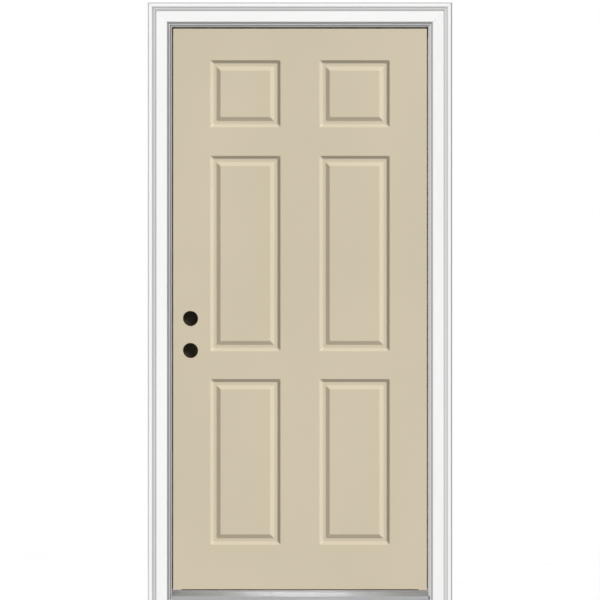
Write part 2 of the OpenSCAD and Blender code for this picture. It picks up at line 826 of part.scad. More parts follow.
// The two barbs that hold the sweep in the bottom rail
module sweep_barbs(grow = 0) {
    for (y = sweep_barb_y)
        translate([y - grow, slab_z - over]) square([sweep_kerf_w + 2 * grow, sweep_kerf_d + over + grow]);
}

module door_sweep() {
    fin_bottom = cap_top + sweep_clear;
    fin_pitch = (sweep_y[1] - sweep_y[0] - fin_t) / (fin_n - 1);
    reach = slab_x - stile_w - kerf_clear;
    color("#2c2a27") along_x(-reach, reach) {
        translate([sweep_y[0], slab_z - sweep_t]) square([sweep_y[1] - sweep_y[0], sweep_t]);
        for (k = [0 : fin_n - 1]) translate([sweep_y[0] + k * fin_pitch, fin_bottom])
            square([fin_t, slab_z - fin_bottom]);
        sweep_barbs();
    }
}

head_jamb();
strike_jamb();
hinge_jamb();
brickmould_head();
brickmould_side(-1);  // brickmould_strike_side
brickmould_side(1);  // brickmould_hinge_side
weatherstrip_head();
weatherstrip_side(-1);  // weatherstrip_strike_side
weatherstrip_side(1);  // weatherstrip_hinge_side
corner_pads();
sill_base();
sill_deck();
sill_cap();
cap_screw(0);  // cap_screw_1
cap_screw(1);  // cap_screw_2
cap_screw(2);  // cap_screw_3
cap_screw(3);  // cap_screw_4
head_screws();
sill_end_screws();
hinge_leaf(hinge_z[0], 1);  // hinge_top_frame_leaf
hinge_leaf(hinge_z[1], 1);  // hinge_middle_frame_leaf
hinge_leaf(hinge_z[2], 1);  // hinge_bottom_frame_leaf
hinge_leaf(hinge_z[0], -1);  // hinge_top_door_leaf
hinge_leaf(hinge_z[1], -1);  // hinge_middle_door_leaf
hinge_leaf(hinge_z[2], -1);  // hinge_bottom_door_leaf
hinge_pin(hinge_z[0]);  // hinge_top_pin
hinge_pin(hinge_z[1]);  // hinge_middle_pin
hinge_pin(hinge_z[2]);  // hinge_bottom_pin
hinge_bearings();
hinge_frame_screws();
hinge_door_screws();
skin(true);  // skin_outside
skin(false);  // skin_inside
lock_stile();
hinge_stile();
top_rail();
bottom_rail();
lock_block();
foam_core();
bore_cap(bore_z[1]);  // deadbolt_bore_cap
bore_cap(bore_z[0]);  // latch_bore_cap
door_sweep();
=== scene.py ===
"""Looks of the panelled entry door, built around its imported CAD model. Metres, in the CAD's own frame."""

import json
import math

import bmesh
import bpy
from mathutils import Matrix, Vector

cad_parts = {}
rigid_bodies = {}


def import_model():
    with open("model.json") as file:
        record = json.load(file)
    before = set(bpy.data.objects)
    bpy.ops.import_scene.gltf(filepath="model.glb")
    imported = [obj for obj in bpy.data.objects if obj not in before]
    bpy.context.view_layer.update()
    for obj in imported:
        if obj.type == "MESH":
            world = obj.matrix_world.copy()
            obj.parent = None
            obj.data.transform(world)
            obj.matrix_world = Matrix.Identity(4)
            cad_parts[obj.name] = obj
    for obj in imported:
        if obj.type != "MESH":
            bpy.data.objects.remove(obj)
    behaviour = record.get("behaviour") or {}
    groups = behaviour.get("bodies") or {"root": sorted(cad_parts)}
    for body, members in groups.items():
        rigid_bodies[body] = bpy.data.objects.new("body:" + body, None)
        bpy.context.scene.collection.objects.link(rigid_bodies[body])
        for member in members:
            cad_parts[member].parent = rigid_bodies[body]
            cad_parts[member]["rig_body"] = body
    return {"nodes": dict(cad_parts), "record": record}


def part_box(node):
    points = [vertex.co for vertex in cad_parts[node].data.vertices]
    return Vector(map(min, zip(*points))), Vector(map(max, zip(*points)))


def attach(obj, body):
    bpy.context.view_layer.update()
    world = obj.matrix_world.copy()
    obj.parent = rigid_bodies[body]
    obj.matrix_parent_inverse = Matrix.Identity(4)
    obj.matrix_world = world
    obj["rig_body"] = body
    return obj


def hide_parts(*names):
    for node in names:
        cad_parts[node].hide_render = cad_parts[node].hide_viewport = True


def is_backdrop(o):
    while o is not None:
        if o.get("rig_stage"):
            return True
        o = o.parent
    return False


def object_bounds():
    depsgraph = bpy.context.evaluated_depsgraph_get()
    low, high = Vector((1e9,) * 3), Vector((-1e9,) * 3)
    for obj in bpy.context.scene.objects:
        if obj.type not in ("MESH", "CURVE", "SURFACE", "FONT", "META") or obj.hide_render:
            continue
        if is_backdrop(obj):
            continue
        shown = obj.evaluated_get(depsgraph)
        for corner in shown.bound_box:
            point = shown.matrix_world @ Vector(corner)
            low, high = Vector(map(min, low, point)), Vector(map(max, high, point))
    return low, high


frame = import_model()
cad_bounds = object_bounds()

MM = 0.001
record = frame["record"]
mounts = {m["name"]: m for m in record["mounts"]}

# ---- Driving sizes that the frame doesn't give ----

PANEL_MARGIN = 140.5 * MM
MULLION = 138 * MM
TOP_MARGIN = 120.5 * MM
TOP_PANEL = 236.5 * MM
FRIEZE = 101 * MM
LOCK_RAIL = 98.5 * MM
BOTTOM_PANEL = 584.5 * MM
BOTTOM_MARGIN = 157.5 * MM
OUTER_SLOPE = 10.5 * MM
GROOVE_FLOOR = 11.5 * MM
INNER_SLOPE = 14 * MM
FIELD_DROP = 0.6 * MM
SKIN = 0.8 * MM
MOULD_FACE = 19 * MM
MOULD_EDGE = 10.5 * MM
MOULD_STEP = 17 * MM
MOULD_RIM = 14 * MM

leaf_lo, leaf_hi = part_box("skin_outside")
inside_lo, inside_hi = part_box("skin_inside")
groove_depth = leaf_hi.y - leaf_lo.y - SKIN
stile_lo, stile_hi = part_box("hinge_stile")
hinge_jamb_lo, hinge_jamb_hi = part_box("hinge_jamb")
mould_lo, mould_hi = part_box("brickmould_hinge_side")
head_mould_lo, head_mould_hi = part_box("brickmould_head")
seal_lo, seal_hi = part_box("weatherstrip_hinge_side")
head_seal_lo, head_seal_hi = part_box("weatherstrip_head")


# ---- Camera, light and floor ----

def add_camera():
    """A long lens square to the outside face, so the sides of the frame stay almost hidden."""
    data = bpy.data.cameras.new("camera")
    data.lens = 250
    data.sensor_width = 36
    data.clip_end = 100
    camera = bpy.data.objects.new("camera", data)
    camera.location = (0, leaf_lo.y - 14.708, 1.0536)
    camera.rotation_euler = (math.radians(90), 0, 0)
    bpy.context.scene.collection.objects.link(camera)
    bpy.context.scene.camera = camera


def add_sun(name, towards, strength, softness, receivers, blockers=None):
    """A distant soft light that shines along a direction, kept to the pieces it lights."""
    data = bpy.data.lights.new(name, "SUN")
    data.energy = strength
    data.angle = math.radians(softness)
    light = bpy.data.objects.new(name, data)
    light.rotation_euler = Vector(towards).to_track_quat("-Z", "Y").to_euler()
    bpy.context.scene.collection.objects.link(light)
    light.light_linking.receiver_collection = receivers
    if blockers:
        light.light_linking.blocker_collection = blockers


def add_sill_lamp(strength, receivers, blockers):
    """A small soft lamp low in front of the sill, brightest at its middle."""
    data = bpy.data.lights.new("sill_lamp", "AREA")
    data.shape = "DISK"
    data.size = 0.25
    data.energy = strength
    light = bpy.data.objects.new("sill_lamp", data)
    light.location = (0, -0.4, 0.55)
    light.rotation_euler = (Vector((0, 0, 0.02)) - light.location).to_track_quat("-Z", "Y").to_euler()
    bpy.context.scene.collection.objects.link(light)
    light.light_linking.receiver_collection = receivers
    light.light_linking.blocker_collection = blockers


def add_world(fill, backdrop):
    """White surroundings: bright where they are seen, softer as fill light."""
    world = bpy.data.worlds.new("studio")
    bpy.context.scene.world = world
    world.use_nodes = True
    nodes, links = world.node_tree.nodes, world.node_tree.links
    nodes.clear()
    output = nodes.new("ShaderNodeOutputWorld")
    mix = nodes.new("ShaderNodeMixShader")
    seen = nodes.new("ShaderNodeBackground")
    seen.inputs["Strength"].default_value = backdrop
    light = nodes.new("ShaderNodeBackground")
    light.inputs["Strength"].default_value = fill
    for background in (seen, light):
        background.inputs["Color"].default_value = (1, 1, 1, 1)
    path = nodes.new("ShaderNodeLightPath")
    links.new(path.outputs["Is Camera Ray"], mix.inputs["Fac"])
    links.new(light.outputs[0], mix.inputs[1])
    links.new(seen.outputs[0], mix.inputs[2])
    links.new(mix.outputs[0], output.inputs["Surface"])


add_camera()
add_world(fill=0.11, backdrop=1.0)
bpy.context.scene.view_settings.view_transform = "Standard"
leaf_lit = bpy.data.collections.new("lit_with_leaf")
frame_lit = bpy.data.collections.new("lit_with_frame")
left_lit = bpy.data.collections.new("lit_from_upper_left")
jamb_lit = bpy.data.collections.new("lit_across_opening")
right_lit = bpy.data.collections.new("lit_from_front")
sill_lit = bpy.data.collections.new("lit_with_sill")
rear_lit = bpy.data.collections.new("lit_from_behind")
wall_lit = bpy.data.collections.new("lit_on_wall_side")
floor_lit = bpy.data.collections.new("lit_with_floor")
add_sun("leaf_key", (-0.7, 1, -0.7), 4.5, 12, leaf_lit, leaf_lit)
add_sun("left_key", (0.24, 0.92, -0.3), 3.75, 8, left_lit, frame_lit)
add_sun("jamb_key", (0.5, 0.75, -0.45), 2.7, 8, jamb_lit, frame_lit)
add_sun("right_key", (-0.06, 0.98, -0.1), 3.25, 8, right_lit, frame_lit)
add_sun("sill_key", (0.3, 0.6, -0.8), 0.6, 10, sill_lit, frame_lit)
add_sill_lamp(8.0, sill_lit, frame_lit)
add_sun("rear_key", (0.9, -1, -0.9), 4.0, 10, rear_lit)
add_sun("rear_side", (-0.8, -0.5, -0.4), 0.7, 25, rear_lit)
add_sun("wall_side", (0, -1, 0), 2.4, 12, wall_lit)
add_sun("floor_wash", (0, 0.2, -1), 3.7, 30, floor_lit, floor_lit)


# ---- Shader helpers ----

class Shader:
    """A node material built step by step around one Principled shader."""

    def __init__(self, name, metallic=0.0, **sockets):
        self.material = bpy.data.materials.new(name)
        self.material.use_nodes = True
        self.nodes = self.material.node_tree.nodes
        self.links = self.material.node_tree.links
        self.bsdf = self.nodes["Principled BSDF"]
        self.bsdf.inputs["Metallic"].default_value = metallic
        for socket, value in sockets.items():
            self.bsdf.inputs[socket.replace("_", " ")].default_value = value
        self.position = self.nodes.new("ShaderNodeTexCoord").outputs["Object"]

    def scaled(self, scale):
        """The object's own coordinates stretched by a scale for each axis."""
        node = self.nodes.new("ShaderNodeMapping")
        node.inputs["Scale"].default_value = scale
        self.links.new(self.position, node.inputs["Vector"])
        return node.outputs["Vector"]

    def noise(self, scale, detail=3.0, distortion=0.0):
        node = self.nodes.new("ShaderNodeTexNoise")
        node.inputs["Scale"].default_value = 1.0
        node.inputs["Detail"].default_value = detail
        node.inputs["Distortion"].default_value = distortion
        self.links.new(self.scaled(scale), node.inputs["Vector"])
        return node.outputs["Fac"]

    def cells(self, scale):
        node = self.nodes.new("ShaderNodeTexVoronoi")
        node.inputs["Scale"].default_value = 1.0
        self.links.new(self.scaled(scale), node.inputs["Vector"])
        return node.outputs["Distance"]

    def colours(self, factor, *stops):
        """A colour ramp; each stop is a place and a linear colour."""
        node = self.nodes.new("ShaderNodeValToRGB")
        ramp = node.color_ramp
        while len(ramp.elements) < len(stops):
            ramp.elements.new(0.5)
        for element, (place, colour) in zip(ramp.elements, stops):
            element.position = place
            element.color = (*colour, 1)
        self.links.new(factor, node.inputs["Fac"])
        self.links.new(node.outputs["Color"], self.bsdf.inputs["Base Color"])
        return self

    def roughness(self, factor, low, high):
        node = self.nodes.new("ShaderNodeMapRange")
        node.inputs["To Min"].default_value = low
        node.inputs["To Max"].default_value = high
        self.links.new(factor, node.inputs["Value"])
        self.links.new(node.outputs["Result"], self.bsdf.inputs["Roughness"])
        return self

    def bump(self, *layers):
        """Height maps laid over each other; each layer is a height, a strength and a depth in metres."""
        normal = None
        for height, strength, depth in layers:
            node = self.nodes.new("ShaderNodeBump")
            node.inputs["Strength"].default_value = strength
            node.inputs["Distance"].default_value = depth
            self.links.new(height, node.inputs["Height"])
            if normal:
                self.links.new(normal, node.inputs["Normal"])
            normal = node.outputs["Normal"]
        self.links.new(normal, self.bsdf.inputs["Normal"])
        return self


def linear(*srgb):
    """An sRGB colour given in 0 to 255, as linear values."""
    shares = [c / 255 for c in srgb]
    return tuple(c / 12.92 if c <= 0.04045 else ((c + 0.055) / 1.055) ** 2.4 for c in shares)


def toned(colour, share):
    return tuple(c * share for c in colour)


def along(axis, across, length):
    """A texture scale that is fine across the grain and long along it."""
    return tuple(length if axis == i else across for i in range(3))


X, Y, Z = 0, 1, 2


def paint_on_steel(name, colour):
    shader = Shader(name, Specular_IOR_Level=0.35)
    shader.colours(shader.noise((2.2, 2.2, 1.3), 4), (0.35, toned(colour, 0.975)), (0.65, toned(colour, 1.02)))
    shader.roughness(shader.noise((60, 60, 60), 4), 0.52, 0.64)
    return shader.bump(
        (shader.noise((650, 650, 650), 2), 0.10, 0.0004),
        (shader.noise((9, 9, 9), 2), 0.02, 0.0020),
    ).material


def paint_on_wood(name, colour, axis):
    shader = Shader(name, Specular_IOR_Level=0.35)
    shader.colours(shader.noise(along(axis, 16, 1.5), 4), (0.3, toned(colour, 0.975)), (0.7, toned(colour, 1.01)))
    shader.roughness(shader.noise(along(axis, 90, 12), 3), 0.46, 0.6)
    return shader.bump(
        (shader.noise(along(axis, 420, 9), 3), 0.12, 0.0005),
        (shader.noise(along(axis, 60, 3), 2), 0.06, 0.0010),
    ).material


def raw_wood(name, light, dark, axis):
    shader = Shader(name)
    shader.colours(
        shader.noise(along(axis, 95, 2.2), 5, 0.8),
        (0.30, dark), (0.46, light), (0.55, toned(light, 0.86)), (0.68, toned(light, 1.06)),
    )
    shader.roughness(shader.noise(along(axis, 300, 20), 3), 0.55, 0.78)
    return shader.bump((shader.noise(along(axis, 700, 14), 3), 0.25, 0.0006)).material


def streaked_metal(name, colour, axis, low, high, anisotropic=0.0):
    shader = Shader(name, metallic=1.0, Anisotropic=anisotropic)
    shader.colours(shader.noise(along(axis, 40, 2), 3), (0.3, toned(colour, 0.9)), (0.7, toned(colour, 1.05)))
    shader.roughness(shader.noise(along(axis, 500, 6), 3), low, high)
    return shader.bump((shader.noise(along(axis, 1500, 12), 2), 0.10, 0.0003)).material


def zinc_plate(name):
    shader = Shader(name, metallic=1.0)
    shader.colours(shader.cells((420, 420, 420)), (0.0, (0.52, 0.53, 0.52)), (0.8, (0.70, 0.71, 0.69)))
    shader.roughness(shader.noise((900, 900, 900), 3), 0.28, 0.46)
    return shader.bump((shader.noise((1500, 1500, 1500), 2), 0.12, 0.0002)).material


def moulded(name, colour, grain, low, high, spread=0.12):
    """Vinyl, plastic, foam or composite with a fine pebbled surface of that many grains to the metre."""
    shader = Shader(name)
    shader.colours(
        shader.noise((grain / 6, grain / 6, grain / 6), 4),
        (0.3, toned(colour, 1 - spread)), (0.7, toned(colour, 1 + spread)),
    )
    shader.roughness(shader.noise((grain / 2, grain / 2, grain / 2), 2), low, high)
    return shader.bump((shader.cells((grain, grain, grain)), 0.22, 0.0003)).material


LEAF_TAN = toned(linear(208, 196, 171), 0.86)
WHITE = (0.74, 0.74, 0.735)
PINE = linear(222, 190, 140)
PINE_DARK = linear(178, 134, 84)

looks = {
    "leaf_paint": paint_on_steel("satin_tan_paint", LEAF_TAN),
    "white_upright": paint_on_wood("white_paint_upright", WHITE, Z),
    "white_level": paint_on_wood("white_paint_level", WHITE, X),
    "seal_foam": moulded("bronze_seal_vinyl", linear(58, 51, 42), 900, 0.55, 0.75),
    "sill_composite": moulded("grey_sill_composite", linear(128, 124, 116), 500, 0.65, 0.85, 0.2),
    "mill_aluminium": streaked_metal("mill_aluminium", (0.56, 0.565, 0.57), X, 0.32, 0.44, 0.4),
    "cap_composite": raw_wood("lacquered_oak", linear(188, 146, 98), linear(140, 98, 58), X),
    "zinc_steel": zinc_plate("zinc_plate"),
    "hinge_steel": streaked_metal("satin_nickel", (0.62, 0.60, 0.56), Z, 0.24, 0.36),
    "pine_upright": raw_wood("raw_pine_upright", PINE, PINE_DARK, Z),
    "pine_level": raw_wood("raw_pine_level", PINE, PINE_DARK, X),
    "bottom_composite": moulded("bottom_rail_composite", linear(160, 140, 112), 420, 0.7, 0.9, 0.22),
    "core_foam": moulded("rigid_foam", linear(232, 222, 190), 700, 0.8, 0.95, 0.06),
    # Matt black plastic; on the caps deep in the latch and deadbolt bores this black is painted shade, standing in
    # for the darkness inside open bores.
    "black_plastic": moulded("matt_black_plastic_bore_shade", linear(20, 20, 20), 1100, 0.55, 0.75, 0.2),
    "sweep_vinyl": moulded("black_sweep_vinyl", linear(40, 38, 36), 900, 0.45, 0.65, 0.15),
    "floor": moulded("pale_floor", (0.86, 0.86, 0.86), 25, 0.6, 0.8, 0.01),
}

# ---- Mesh helpers ----

bodies = record["behaviour"]["bodies"]
body_of = {node: body for body, nodes in bodies.items() for node in nodes}
slot_of = {s["node"]: s["material_slot"] for s in record["subparts"]}
LEVEL = {"head_jamb", "brickmould_head", "top_rail"}


def look_for(node):
    slot = slot_of[node]
    if slot in ("jamb_paint", "mould_paint"):
        return looks["white_level" if node in LEVEL else "white_upright"]
    if slot == "pine":
        return looks["pine_level" if node in LEVEL else "pine_upright"]
    return looks[slot]


def finish_piece(piece, node, *others):
    """Puts a new piece in place of a CAD node, with that node's body and the finish of its slot."""
    bpy.context.scene.collection.objects.link(piece)
    piece.data.materials.clear()
    piece.data.materials.append(look_for(node))
    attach(piece, body_of[node])
    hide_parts(node, *others)
    weigh_normals(piece)
    return piece


def smooth(mesh, angle):
    """Smooth shading with edges sharper than the angle, in degrees, kept crisp."""
    mesh.shade_smooth()
    mesh.set_sharp_from_angle(angle=math.radians(angle))


def weigh_normals(piece):
    """Lets large flat faces keep their own normals beside small rounded ones."""
    weigh = piece.modifiers.new("weighted", "WEIGHTED_NORMAL")
    weigh.mode = "FACE_AREA"
    weigh.weight = 100
    weigh.keep_sharp = True


def with_modifiers(piece):
    """The piece with its modifiers applied to its mesh."""
    scene = bpy.context.scene
    scene.collection.objects.link(piece)
    depsgraph = bpy.context.evaluated_depsgraph_get()
    mesh = bpy.data.meshes.new_from_object(piece.evaluated_get(depsgraph))
    scene.collection.objects.unlink(piece)
    piece.modifiers.clear()
    piece.data = mesh
    return piece


def add_bevel(piece, width, segments=2, angle=30):
    bevel = piece.modifiers.new("eased", "BEVEL")
    bevel.width = width
    bevel.segments = segments
    bevel.limit_method = "ANGLE"
    bevel.angle_limit = math.radians(angle)
    bevel.use_clamp_overlap = True


def eased(node, width, segments=2, shade_angle=40):
    """A copy of a CAD node with its hard edges eased, standing in its place."""
    mesh = bpy.data.meshes.new(node + "_eased")
    bm = bmesh.new()
    bm.from_mesh(frame["nodes"][node].data)
    bmesh.ops.remove_doubles(bm, verts=bm.verts, dist=0.02 * MM)
    bmesh.ops.dissolve_limit(bm, angle_limit=math.radians(0.5), verts=bm.verts, edges=bm.edges)
    bm.to_mesh(mesh)
    bm.free()
    piece = bpy.data.objects.new(node + "_eased", mesh)
    add_bevel(piece, width, segments)
    with_modifiers(piece)
    smooth(piece.data, shade_angle)
    return finish_piece(piece, node)


def fillet(points, radii, segments=5):
    """A polyline whose inner corners are rounded; radii has one radius for each inner corner."""
    result = [points[0]]
    for before, corner, after, radius in zip(points, points[1:], points[2:], radii):
        corner, back, ahead = Vector(corner), Vector(before) - Vector(corner), Vector(after) - Vector(corner)
        half = back.angle(ahead) / 2
        reach = min(radius / math.tan(half), 0.48 * back.length, 0.48 * ahead.length)
        if reach < 1e-6:
            result.append(tuple(corner))
            continue
        start, end = corner + back.normalized() * reach, corner + ahead.normalized() * reach
        for k in range(segments + 1):
            t = k / segments
            result.append(tuple((1 - t) ** 2 * start + 2 * t * (1 - t) * corner + t * t * end))
    result.append(points[-1])
    return result


def swept(name, profile, ends):
    """A closed profile carried between two ends; each end maps a profile point to a place."""
    bm = bmesh.new()
    rings = [[bm.verts.new(end(u, v)) for u, v in profile] for end in ends]
    count = len(profile)
    for a, b in zip(rings, rings[1:]):
        for i in range(count):
            j = (i + 1) % count
            bm.faces.new((a[i], a[j], b[j], b[i]))
    bm.faces.new(rings[0][::-1])
    bm.faces.new(rings[-1])
    bmesh.ops.recalc_face_normals(bm, faces=bm.faces)
    mesh = bpy.data.meshes.new(name)
    bm.to_mesh(mesh)
    bm.free()
    return bpy.data.objects.new(name, mesh)


# ---- Door skins, pressed with rounded grooves ----

def panel_boxes():
    """Each panel's outer edge as left, bottom, right and top."""
    width = leaf_hi.x - leaf_lo.x
    panel = (width - 2 * PANEL_MARGIN - MULLION) / 2
    bottom = leaf_lo.z + BOTTOM_MARGIN
    middle_z = bottom + BOTTOM_PANEL + LOCK_RAIL
    top = leaf_hi.z - TOP_MARGIN - TOP_PANEL
    rows = [(bottom, bottom + BOTTOM_PANEL), (middle_z, top - FRIEZE), (top, top + TOP_PANEL)]
    lefts = [leaf_lo.x + PANEL_MARGIN, leaf_hi.x - PANEL_MARGIN - panel]
    return [(x, z0, x + panel, z1) for x in lefts for z0, z1 in rows]


def rounded_rectangle(left, bottom, right, top, radius, segments=4):
    points = []
    corners = [(right, top, 0), (left, top, 90), (left, bottom, 180), (right, bottom, 270)]
    for x, z, start in corners:
        cx = x - radius if x == right else x + radius
        cz = z - radius if z == top else z + radius
        for k in range(segments + 1):
            angle = math.radians(start + 90 * k / segments)
            points.append((cx + radius * math.cos(angle), cz + radius * math.sin(angle)))
    return points


def pressed_profile():
    """How deep the pressing is at each distance inside a panel's edge."""
    floor_start = OUTER_SLOPE
    floor_end = floor_start + GROOVE_FLOOR
    field = floor_end + INNER_SLOPE
    path = [
        (-5 * MM, 0), (0, 0), (floor_start, groove_depth), (floor_end, groove_depth),
        (field, FIELD_DROP), (field + 8 * MM, FIELD_DROP),
    ]
    return fillet(path, [3 * MM, 7 * MM, 7 * MM, 5 * MM], 5)


def circle_points(x, z, radius, count=72):
    return [
        (x + radius * math.cos(2 * math.pi * k / count), z + radius * math.sin(2 * math.pi * k / count))
        for k in range(count)
    ]


def leaf_outline(notched):
    """The leaf's edge, with notches for the hinge leaves on the inside skin."""
    points = [(leaf_lo.x, leaf_lo.z), (leaf_hi.x, leaf_lo.z)]
    if notched:
        for node in ("hinge_bottom_door_leaf", "hinge_middle_door_leaf", "hinge_top_door_leaf"):
            low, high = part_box(node)
            depth = leaf_hi.x - low.x
            points += [(leaf_hi.x, low.z), (leaf_hi.x - depth, low.z)]
            points += [(leaf_hi.x - depth, high.z), (leaf_hi.x, high.z)]
    return points + [(leaf_hi.x, leaf_hi.z), (leaf_lo.x, leaf_hi.z)]


def add_skin(node, face_y, inward):
    """A pressed steel skin; inward is +1 when the leaf's inside lies towards +Y."""
    bm = bmesh.new()

    def ring(points, depth=0.0):
        return [bm.verts.new((x, face_y + inward * depth, z)) for x, z in points]

    def edges(loop):
        return [bm.edges.new((a, b)) for a, b in zip(loop, loop[1:] + loop[:1])]

    flat = edges(ring(leaf_outline(inward < 0)))
    for name in ("latch_bore", "deadbolt_bore"):
        mount = mounts[name]
        flat += edges(ring(circle_points(mount["pos_m"][0], mount["pos_m"][2], mount["dims"]["r_mm"] * MM)))
    profile = pressed_profile()
    for left, bottom, right, top in panel_boxes():
        loops = []
        for distance, depth in profile:
            corner = 5 * MM if distance < 12 * MM else 3 * MM
            loops.append(ring(rounded_rectangle(
                left + distance, bottom + distance, right - distance, top - distance, corner), depth))
        for a, b in zip(loops, loops[1:]):
            for i in range(len(a)):
                j = (i + 1) % len(a)
                bm.faces.new((a[i], a[j], b[j], b[i]))
        bm.faces.new(loops[-1])
        flat += [bm.edges.get((a, b)) for a, b in zip(loops[0], loops[0][1:] + loops[0][:1])]
    bmesh.ops.triangle_fill(bm, use_beauty=True, edges=flat, normal=(0, -inward, 0))
    bmesh.ops.recalc_face_normals(bm, faces=bm.faces)
    sample = max(bm.faces, key=lambda f: f.calc_area())
    if sample.normal.y * inward > 0:
        bmesh.ops.reverse_faces(bm, faces=bm.faces)
    mesh = bpy.data.meshes.new(node + "_pressed")
    bm.to_mesh(mesh)
    bm.free()
    piece = bpy.data.objects.new(node + "_pressed", mesh)
    sheet = piece.modifiers.new("sheet", "SOLIDIFY")
    sheet.thickness = SKIN
    sheet.offset = -1
    add_bevel(piece, 0.25 * MM, 2, 60)
    with_modifiers(piece)
    smooth(piece.data, 35)
    for face in piece.data.polygons:
        if abs(face.normal.y) > 0.99999:
            face.use_smooth = False
    return finish_piece(piece, node)


add_skin("skin_outside", leaf_lo.y, 1)
add_skin("skin_inside", inside_hi.y, -1)


# ---- Brickmould with a smooth moulded section and mitred corners ----

def mould_profile():
    """The moulding's section: distance out from its inner edge, and thickness off the wall."""
    width = mould_hi.x - mould_lo.x
    rim = mould_hi.y - mould_lo.y
    step = width - MOULD_RIM - MOULD_STEP
    ledge = (MOULD_FACE + rim) / 2
    edge_foot = MOULD_FACE - 15 * MM
    path = [
        (0, 0), (0, edge_foot), (3.5 * MM, edge_foot + 2.5 * MM),
        (MOULD_EDGE - 0.5 * MM, MOULD_FACE - 0.6 * MM), (MOULD_EDGE + 2.5 * MM, MOULD_FACE),
        (step, MOULD_FACE), (step + 1 * MM, MOULD_FACE + 0.5 * MM),
        (step + 7 * MM, ledge - 0.5 * MM), (step + 10 * MM, ledge + 0.7 * MM),
        (step + 15.5 * MM, rim - 0.4 * MM), (step + 18 * MM, rim), (width - 5 * MM, rim),
        (width, rim - 13 * MM), (width, 0),
    ]
    radii = [r * MM for r in (0.8, 5, 3, 8, 1, 5, 3, 3, 3, 8, 4, 5)]
    return fillet(path, radii, 7)


def add_brickmould():
    profile = mould_profile()
    inner_x, foot, corner_z = mould_lo.x, mould_lo.z, head_mould_lo.z
    joint = 0.15 * MM
    wall = mould_hi.y
    for node, sign in (("brickmould_strike_side", -1), ("brickmould_hinge_side", 1)):
        piece = swept(node + "_moulded", profile, [
            lambda u, v: (sign * (inner_x + u), wall - v, foot),
            lambda u, v: (sign * (inner_x + u), wall - v, corner_z + u - joint),
        ])
        smooth(piece.data, 32)
        finish_piece(piece, node)
    piece = swept("brickmould_head_moulded", profile, [
        lambda u, v: (-inner_x - u + joint, wall - v, corner_z + u),
        lambda u, v: (inner_x + u - joint, wall - v, corner_z + u),
    ])
    smooth(piece.data, 32)
    finish_piece(piece, "brickmould_head")


add_brickmould()


# ---- Weatherstrips: a foam-filled bulb with its barbed tail in the kerf ----

def seal_profile():
    """The seal's section: distance out from its nose, and distance behind the stop."""
    reach = seal_hi.x - seal_lo.x
    depth = seal_hi.y - seal_lo.y
    tail = 8 * MM
    body = reach - tail
    barb = 0.9 * MM
    half = 0.5 * MM
    mid = 1.5 * MM
    path = [
        (body, 0.02 * MM), (2.2 * MM, 0.0), (0, 1.6 * MM), (0, depth - 1.6 * MM), (2.2 * MM, depth),
        (body - 2.5 * MM, depth), (body, depth - 1.8 * MM), (body, mid + half),
        (body + 2 * MM, mid + half), (body + 2.2 * MM, mid + half + barb), (body + 3.8 * MM, mid + half),
        (body + 5 * MM, mid + half), (body + 5.2 * MM, mid + half + barb), (reach, mid),
        (body + 5.2 * MM, mid - half - barb), (body + 5 * MM, mid - half), (body + 3.8 * MM, mid - half),
        (body + 2.2 * MM, mid - half - barb), (body + 2 * MM, mid - half), (body, mid - half),
    ]
    radii = [2 * MM] * 5 + [1.2 * MM] + [0.1 * MM] * 12
    return fillet(path, radii, 4)


def add_seals():
    profile = seal_profile()
    stop_y = seal_lo.y
    for node, sign in (("weatherstrip_strike_side", -1), ("weatherstrip_hinge_side", 1)):
        piece = swept(node + "_bulb", profile, [
            lambda u, v: (sign * (seal_lo.x + u), stop_y + v, seal_lo.z),
            lambda u, v: (sign * (seal_lo.x + u), stop_y + v, seal_hi.z),
        ])
        smooth(piece.data, 40)
        finish_piece(piece, node)
    piece = swept("weatherstrip_head_bulb", profile, [
        lambda u, v: (head_seal_lo.x, stop_y + v, head_seal_lo.z + u),
        lambda u, v: (head_seal_hi.x, stop_y + v, head_seal_lo.z + u),
    ])
    smooth(piece.data, 40)
    finish_piece(piece, "weatherstrip_head")


add_seals()

# ---- Wood screws with crossed recesses and threads ----

THREAD_PITCH = 2.2 * MM
THREAD_DEPTH = 0.6 * MM
POINT = 4 * MM
RECESS_REACH = 2.5 * MM
RECESS_WING = 0.5 * MM
RECESS_DEPTH = 1.9 * MM


def solids(node):
    """The lowest and highest corner of each separate solid in a CAD node."""
    bm = bmesh.new()
    bm.from_mesh(frame["nodes"][node].data)
    bmesh.ops.remove_doubles(bm, verts=bm.verts, dist=0.02 * MM)
    bm.verts.ensure_lookup_table()
    seen = set()
    boxes = []
    for start in bm.verts:
        if start.index in seen:
            continue
        seen.add(start.index)
        group, waiting = [], [start]
        while waiting:
            vert = waiting.pop()
            group.append(vert.co.copy())
            for edge in vert.link_edges:
                other = edge.other_vert(vert)
                if other.index not in seen:
                    seen.add(other.index)
                    waiting.append(other)
        boxes.append((Vector(map(min, *group)), Vector(map(max, *group))))
    bm.free()
    return boxes


def screw_profile(length, head_r, shank_r, head_h):
    """Half of a countersunk screw's section, as radius and distance from its head's flat top."""
    root = shank_r - THREAD_DEPTH
    path = [(0, 0), (head_r - 0.25 * MM, 0), (head_r, 0.2 * MM), (shank_r, head_h), (root, head_h + 0.8 * MM)]
    z = head_h + 2 * THREAD_PITCH
    while z < length - POINT:
        path += [(root, z), (shank_r, z + 0.45 * THREAD_PITCH), (root, z + 0.9 * THREAD_PITCH)]
        z += THREAD_PITCH
    return path + [(root, length - POINT + 0.5 * MM), (0, length)]


